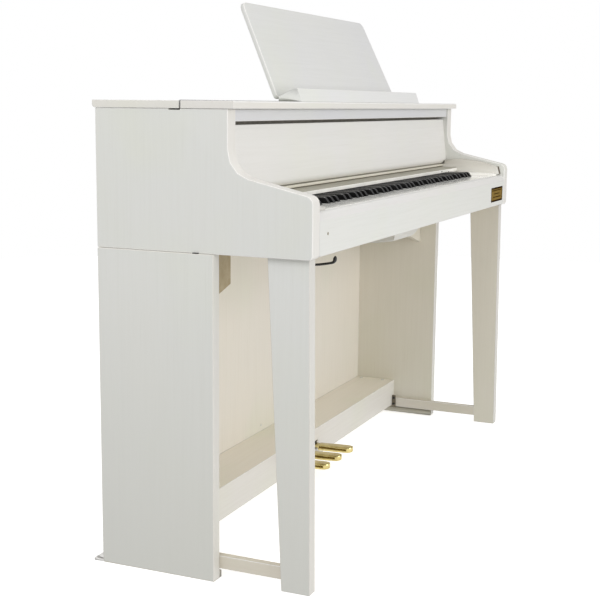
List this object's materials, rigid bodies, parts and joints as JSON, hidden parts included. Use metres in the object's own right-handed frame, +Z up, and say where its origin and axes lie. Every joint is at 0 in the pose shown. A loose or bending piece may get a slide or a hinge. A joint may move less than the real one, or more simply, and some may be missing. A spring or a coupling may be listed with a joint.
{
  "type": "digital piano",
  "caption": "Upright digital piano with a sliding key cover, a folding music desk, a hinged lid flap and a pedal box, standing on two legs and two lower side panels.",
  "frame": {"origin": "on the floor, in the middle of the width and the depth", "axes": "+X towards the treble keys, +Y towards the back panel, +Z up"},
  "size_m": [1.433, 0.483, 1.1393],
  "materials": {
    "pale_board": "satin lacquer with a faint grain",
    "rail_lacquer": "satin lacquer",
    "cream_lining": "matt lacquer",
    "back_board": "matt foil on board",
    "white_key": "soft gloss",
    "black_key": "matt",
    "brass": "satin",
    "steel": "satin",
    "black_plastic": "matt",
    "white_plastic": "fine texture",
    "circuit": "solder mask"
  },
  "bodies": {
    "cabinet": {"side_panel_left": "pale_board", "side_panel_right": "pale_board", "lid_rear_board": "pale_board", "slanted_front_panel": "pale_board", "key_slip": "pale_board", "key_block_left": "pale_board", "key_block_right": "pale_board", "leg_left": "pale_board", "leg_right": "pale_board", "foot_rail_left": "pale_board", "foot_rail_right": "pale_board", "lower_side_panel_left": "pale_board", "lower_side_panel_right": "pale_board", "foot_plate_left": "pale_board", "foot_plate_right": "pale_board", "pedal_box": "pale_board", "upper_front_rail": "rail_lacquer", "cheek_lining_left": "cream_lining", "cheek_lining_right": "cream_lining", "control_rail": "cream_lining", "upper_back_panel": "back_board", "key_bed": "back_board", "corner_gusset_left": "back_board", "corner_gusset_right": "back_board", "lower_back_panel": "back_board", "front_plate": "brass", "lid_hinge": "steel", "key_frame": "steel", "pedal_bracket": "steel", "headphone_hook": "black_plastic", "power_inlet": "black_plastic", "speaker_housing": "white_plastic", "circuit_board": "circuit"},
    "lid_flap": {"lid_front_board": "pale_board", "desk_ledge": "pale_board"},
    "music_desk": {"music_desk": "pale_board"},
    "key_cover": {"key_cover": "pale_board"},
    "volume_slider": {"volume_slider": "black_plastic"},
    "power_button": {"power_button": "black_plastic"},
    "pedal_left": {"pedal_left": "brass"},
    "pedal_middle": {"pedal_middle": "brass"},
    "pedal_right": {"pedal_right": "brass"},
    "key_c": {"key_c": "white_key"},
    "key_d": {"key_d": "white_key"},
    "key_e": {"key_e": "white_key"},
    "key_f": {"key_f": "white_key"},
    "key_g": {"key_g": "white_key"},
    "key_a": {"key_a": "white_key"},
    "key_b": {"key_b": "white_key"},
    "key_c_sharp": {"key_c_sharp": "black_key"},
    "key_d_sharp": {"key_d_sharp": "black_key"},
    "key_f_sharp": {"key_f_sharp": "black_key"},
    "key_g_sharp": {"key_g_sharp": "black_key"},
    "key_a_sharp": {"key_a_sharp": "black_key"},
    "bass_white_keys": {"bass_white_keys": "white_key"},
    "bass_black_keys": {"bass_black_keys": "black_key"},
    "treble_white_keys": {"treble_white_keys": "white_key"},
    "treble_black_keys": {"treble_black_keys": "black_key"}
  },
  "joints": [
    {"name": "lid_flap_hinge", "type": "hinge", "parent": "cabinet", "child": "lid_flap", "pos_m": [0, 0.03, 0.9315], "axis": [-1, 0, 0], "range_deg": [0, 70]},
    {"name": "music_desk_hinge", "type": "hinge", "parent": "lid_flap", "child": "music_desk", "pos_m": [0, -0.009, 0.939], "axis": [1, 0, 0], "range_deg": [-65.1, 0]},
    {"name": "key_cover_slide", "type": "slide", "parent": "cabinet", "child": "key_cover", "axis": [0, -0.9981, -0.061], "range_m": [0, 0.158]},
    {"name": "volume_slide", "type": "slide", "parent": "cabinet", "child": "volume_slider", "axis": [0, 1, 0], "range_m": [-0.012, 0.012]},
    {"name": "power_press", "type": "slide", "parent": "cabinet", "child": "power_button", "axis": [0, 1, 0], "range_m": [0, 0.001], "stiffness_N_per_m": 200, "springref_m": -0.002},
    {"name": "pedal_left_press", "type": "hinge", "parent": "cabinet", "child": "pedal_left", "pos_m": [-0.0775, 0.1185, 0.057], "axis": [1, 0, 0], "range_deg": [0, 8], "stiffness_Nm_per_rad": 12, "springref_deg": -8.59},
    {"name": "pedal_middle_press", "type": "hinge", "parent": "cabinet", "child": "pedal_middle", "pos_m": [0, 0.1185, 0.057], "axis": [1, 0, 0], "range_deg": [0, 8], "stiffness_Nm_per_rad": 12, "springref_deg": -8.59},
    {"name": "pedal_right_press", "type": "hinge", "parent": "cabinet", "child": "pedal_right", "pos_m": [0.0775, 0.1185, 0.057], "axis": [1, 0, 0], "range_deg": [0, 8], "stiffness_Nm_per_rad": 12, "springref_deg": -8.59},
    {"name": "key_c_press", "type": "hinge", "parent": "cabinet", "child": "key_c", "pos_m": [0, 0.0835, 0.703], "axis": [1, 0, 0], "range_deg": [0, 1.9], "stiffness_Nm_per_rad": 2, "springref_deg": -8.59},
    {"name": "key_d_press", "type": "hinge", "parent": "cabinet", "child": "key_d", "pos_m": [0, 0.0835, 0.703], "axis": [1, 0, 0], "range_deg": [0, 1.9], "stiffness_Nm_per_rad": 2, "springref_deg": -8.59},
    {"name": "key_e_press", "type": "hinge", "parent": "cabinet", "child": "key_e", "pos_m": [0, 0.0835, 0.703], "axis": [1, 0, 0], "range_deg": [0, 1.9], "stiffness_Nm_per_rad": 2, "springref_deg": -8.59},
    {"name": "key_f_press", "type": "hinge", "parent": "cabinet", "child": "key_f", "pos_m": [0, 0.0835, 0.703], "axis": [1, 0, 0], "range_deg": [0, 1.9], "stiffness_Nm_per_rad": 2, "springref_deg": -8.59},
    {"name": "key_g_press", "type": "hinge", "parent": "cabinet", "child": "key_g", "pos_m": [0, 0.0835, 0.703], "axis": [1, 0, 0], "range_deg": [0, 1.9], "stiffness_Nm_per_rad": 2, "springref_deg": -8.59},
    {"name": "key_a_press", "type": "hinge", "parent": "cabinet", "child": "key_a", "pos_m": [0, 0.0835, 0.703], "axis": [1, 0, 0], "range_deg": [0, 1.9], "stiffness_Nm_per_rad": 2, "springref_deg": -8.59},
    {"name": "key_b_press", "type": "hinge", "parent": "cabinet", "child": "key_b", "pos_m": [0, 0.0835, 0.703], "axis": [1, 0, 0], "range_deg": [0, 1.9], "stiffness_Nm_per_rad": 2, "springref_deg": -8.59},
    {"name": "key_c_sharp_press", "type": "hinge", "parent": "cabinet", "child": "key_c_sharp", "pos_m": [0, 0.0485, 0.703], "axis": [1, 0, 0], "range_deg": [0, 2.4], "stiffness_Nm_per_rad": 1.3, "springref_deg": -8.59},
    {"name": "key_d_sharp_press", "type": "hinge", "parent": "cabinet", "child": "key_d_sharp", "pos_m": [0, 0.0485, 0.703], "axis": [1, 0, 0], "range_deg": [0, 2.4], "stiffness_Nm_per_rad": 1.3, "springref_deg": -8.59},
    {"name": "key_f_sharp_press", "type": "hinge", "parent": "cabinet", "child": "key_f_sharp", "pos_m": [0, 0.0485, 0.703], "axis": [1, 0, 0], "range_deg": [0, 2.4], "stiffness_Nm_per_rad": 1.3, "springref_deg": -8.59},
    {"name": "key_g_sharp_press", "type": "hinge", "parent": "cabinet", "child": "key_g_sharp", "pos_m": [0, 0.0485, 0.703], "axis": [1, 0, 0], "range_deg": [0, 2.4], "stiffness_Nm_per_rad": 1.3, "springref_deg": -8.59},
    {"name": "key_a_sharp_press", "type": "hinge", "parent": "cabinet", "child": "key_a_sharp", "pos_m": [0, 0.0485, 0.703], "axis": [1, 0, 0], "range_deg": [0, 2.4], "stiffness_Nm_per_rad": 1.3, "springref_deg": -8.59},
    {"name": "bass_white_keys_press", "type": "hinge", "parent": "cabinet", "child": "bass_white_keys", "pos_m": [0, 0.0835, 0.703], "axis": [1, 0, 0], "range_deg": [0, 1.9], "stiffness_Nm_per_rad": 46, "springref_deg": -8.59},
    {"name": "treble_white_keys_press", "type": "hinge", "parent": "cabinet", "child": "treble_white_keys", "pos_m": [0, 0.0835, 0.703], "axis": [1, 0, 0], "range_deg": [0, 1.9], "stiffness_Nm_per_rad": 44, "springref_deg": -8.59},
    {"name": "bass_black_keys_press", "type": "hinge", "parent": "cabinet", "child": "bass_black_keys", "pos_m": [0, 0.0485, 0.703], "axis": [1, 0, 0], "range_deg": [0, 2.4], "stiffness_Nm_per_rad": 21, "springref_deg": -8.59},
    {"name": "treble_black_keys_press", "type": "hinge", "parent": "cabinet", "child": "treble_black_keys", "pos_m": [0, 0.0485, 0.703], "axis": [1, 0, 0], "range_deg": [0, 2.4], "stiffness_Nm_per_rad": 20, "springref_deg": -8.59}
  ]
}
